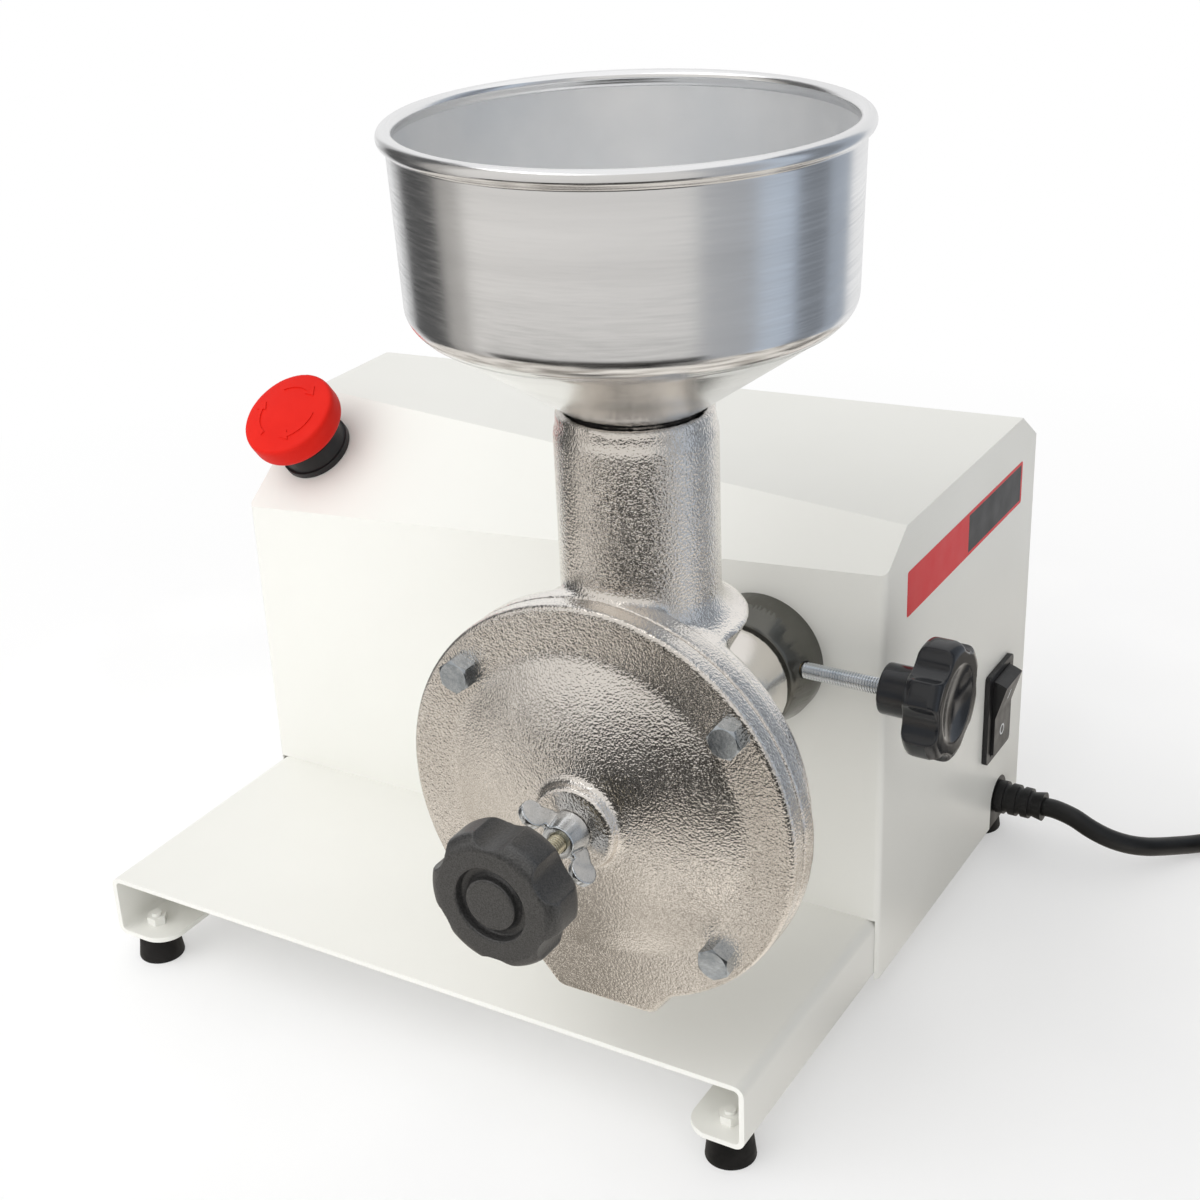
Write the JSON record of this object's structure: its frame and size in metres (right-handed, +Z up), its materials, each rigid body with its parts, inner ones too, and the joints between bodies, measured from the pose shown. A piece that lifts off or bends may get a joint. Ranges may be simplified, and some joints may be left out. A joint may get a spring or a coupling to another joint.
{
  "type": "electric coffee grinder",
  "caption": "Bench coffee grinder: cast burr head with feed tube and spun hopper, clamped in the socket of a sheet-metal motor cabinet with stop button, rocker switch and cord.",
  "frame": {"origin": "on the table, under the middle of the tray", "axes": "+X to the machine's right, -Y to its front where the cover and knob are, +Z up"},
  "size_m": [0.4995, 0.4565, 0.346],
  "materials": {
    "powder_coat": "satin",
    "foot_rubber": "matte",
    "zinc": "satin",
    "frame_paint": "satin",
    "collar_paint": "satin",
    "shaft_steel": "satin",
    "machined_iron": "satin",
    "belt_rubber": "matte",
    "motor_paint": "satin",
    "bell_aluminium": "satin",
    "white_plastic": "matte",
    "tinned_iron": "polished",
    "bronze": "satin",
    "yellow_zinc": "satin",
    "knob_matte": "matte",
    "knob_gloss": "gloss",
    "spun_aluminium": "polished",
    "stop_red": "gloss",
    "black_plastic": "satin",
    "cord_rubber": "matte"
  },
  "bodies": {
    "cabinet": {"base_tray": "powder_coat", "rubber_feet": "foot_rubber", "foot_screws": "zinc", "foot_nuts": "zinc", "cabinet_hood": "powder_coat", "hood_screws": "zinc", "rear_panel": "powder_coat", "rear_screws": "zinc", "spindle_bracket": "frame_paint", "bracket_bolts": "zinc", "socket_collar": "collar_paint", "collar_nut": "frame_paint", "spindle_bearings": "shaft_steel", "drive_belt": "belt_rubber", "motor_can": "motor_paint", "motor_front_bell": "bell_aluminium", "motor_rear_bell": "bell_aluminium", "motor_bearings": "shaft_steel", "motor_saddle": "frame_paint", "motor_band": "zinc", "saddle_bolts": "zinc", "run_capacitor": "white_plastic", "capacitor_clip": "zinc", "terminal_block": "white_plastic", "grinder_body": "tinned_iron", "fixed_burr": "machined_iron", "burr_screws": "zinc", "auger_bush": "bronze", "grinder_cover": "tinned_iron", "cover_bolts": "zinc", "stop_collar": "black_plastic", "stop_nut": "black_plastic", "stop_contacts": "white_plastic", "switch_housing": "black_plastic", "strain_relief": "cord_rubber", "supply_cord": "cord_rubber", "cord_coil": "cord_rubber", "cord_tie": "cord_rubber", "power_plug": "cord_rubber"},
    "thrust": {"thrust_pad": "shaft_steel"},
    "adjuster": {"adjusting_screw": "yellow_zinc", "front_knob": "knob_matte"},
    "auger": {"auger_shaft": "shaft_steel", "feed_auger": "machined_iron", "rotating_burr": "machined_iron", "burr_pin": "zinc"},
    "spindle": {"drive_spindle": "shaft_steel", "driven_pulley": "machined_iron", "pulley_bolt": "zinc"},
    "rotor": {"motor_shaft": "shaft_steel", "motor_pulley": "machined_iron"},
    "wing": {"wing_nut": "zinc"},
    "tip": {"clamp_tip": "bronze"},
    "clamp": {"clamp_rod": "zinc", "clamp_knob": "knob_gloss"},
    "plunger": {"stop_plunger": "black_plastic"},
    "stop": {"stop_head": "stop_red"},
    "rocker": {"rocker": "black_plastic"},
    "hopper": {"hopper": "spun_aluminium"}
  },
  "joints": [
    {"name": "adjuster_slide", "type": "slide", "parent": "cabinet", "child": "thrust", "axis": [0, -1, 0], "range_m": [0, 0.00198]},
    {"name": "adjuster_turn", "type": "hinge", "parent": "thrust", "child": "adjuster", "pos_m": [0.093, -0.16, 0.1385], "axis": [0, -1, 0], "range_deg": [0, 713]},
    {"name": "auger_spin", "type": "hinge", "parent": "thrust", "child": "auger", "pos_m": [0.093, -0.1, 0.1385], "axis": [0, 1, 0], "continuous": true},
    {"name": "spindle_spin", "type": "hinge", "parent": "cabinet", "child": "spindle", "pos_m": [0.093, 0, 0.1385], "axis": [0, 1, 0], "continuous": true},
    {"name": "motor_spin", "type": "hinge", "parent": "cabinet", "child": "rotor", "pos_m": [-0.025, 0.06, 0.095], "axis": [0, 1, 0], "continuous": true},
    {"name": "wing_nut_turn", "type": "hinge", "parent": "cabinet", "child": "wing", "pos_m": [0.093, -0.16, 0.1385], "axis": [0, -1, 0], "range_deg": [0, 180]},
    {"name": "clamp_slide", "type": "slide", "parent": "cabinet", "child": "tip", "axis": [1, 0, 0], "range_m": [0, 0.0024]},
    {"name": "clamp_turn", "type": "hinge", "parent": "tip", "child": "clamp", "pos_m": [0.13, -0.033, 0.1425], "axis": [1, 0, 0], "range_deg": [0, 864.1]},
    {"name": "stop_push", "type": "slide", "parent": "cabinet", "child": "plunger", "axis": [0.0677, 0.578, -0.8132], "range_m": [0, 0.004], "stiffness_N_per_m": 800, "springref_m": -0.002},
    {"name": "stop_twist", "type": "hinge", "parent": "plunger", "child": "stop", "pos_m": [-0.1215, 0.003, 0.17431], "axis": [0.0677, 0.578, -0.8132], "range_deg": [0, 45], "stiffness_Nm_per_rad": 0.05},
    {"name": "rocker_tilt", "type": "hinge", "parent": "cabinet", "child": "rocker", "pos_m": [0.139, 0.096, 0.0705], "axis": [0, -1, 0], "range_deg": [0, 16]},
    {"name": "hopper_lift", "type": "slide", "parent": "cabinet", "child": "hopper", "axis": [0, 0, 1], "range_m": [0, 0.04]}
  ],
  "couplings": [
    {"joint": "adjuster_turn", "follows": "adjuster_slide", "rad_per_m": 6283.2},
    {"joint": "clamp_turn", "follows": "clamp_slide", "rad_per_m": 6283.2},
    {"joint": "auger_spin", "follows": "spindle_spin", "ratio": 1},
    {"joint": "motor_spin", "follows": "spindle_spin", "ratio": 2.6429}
  ]
}
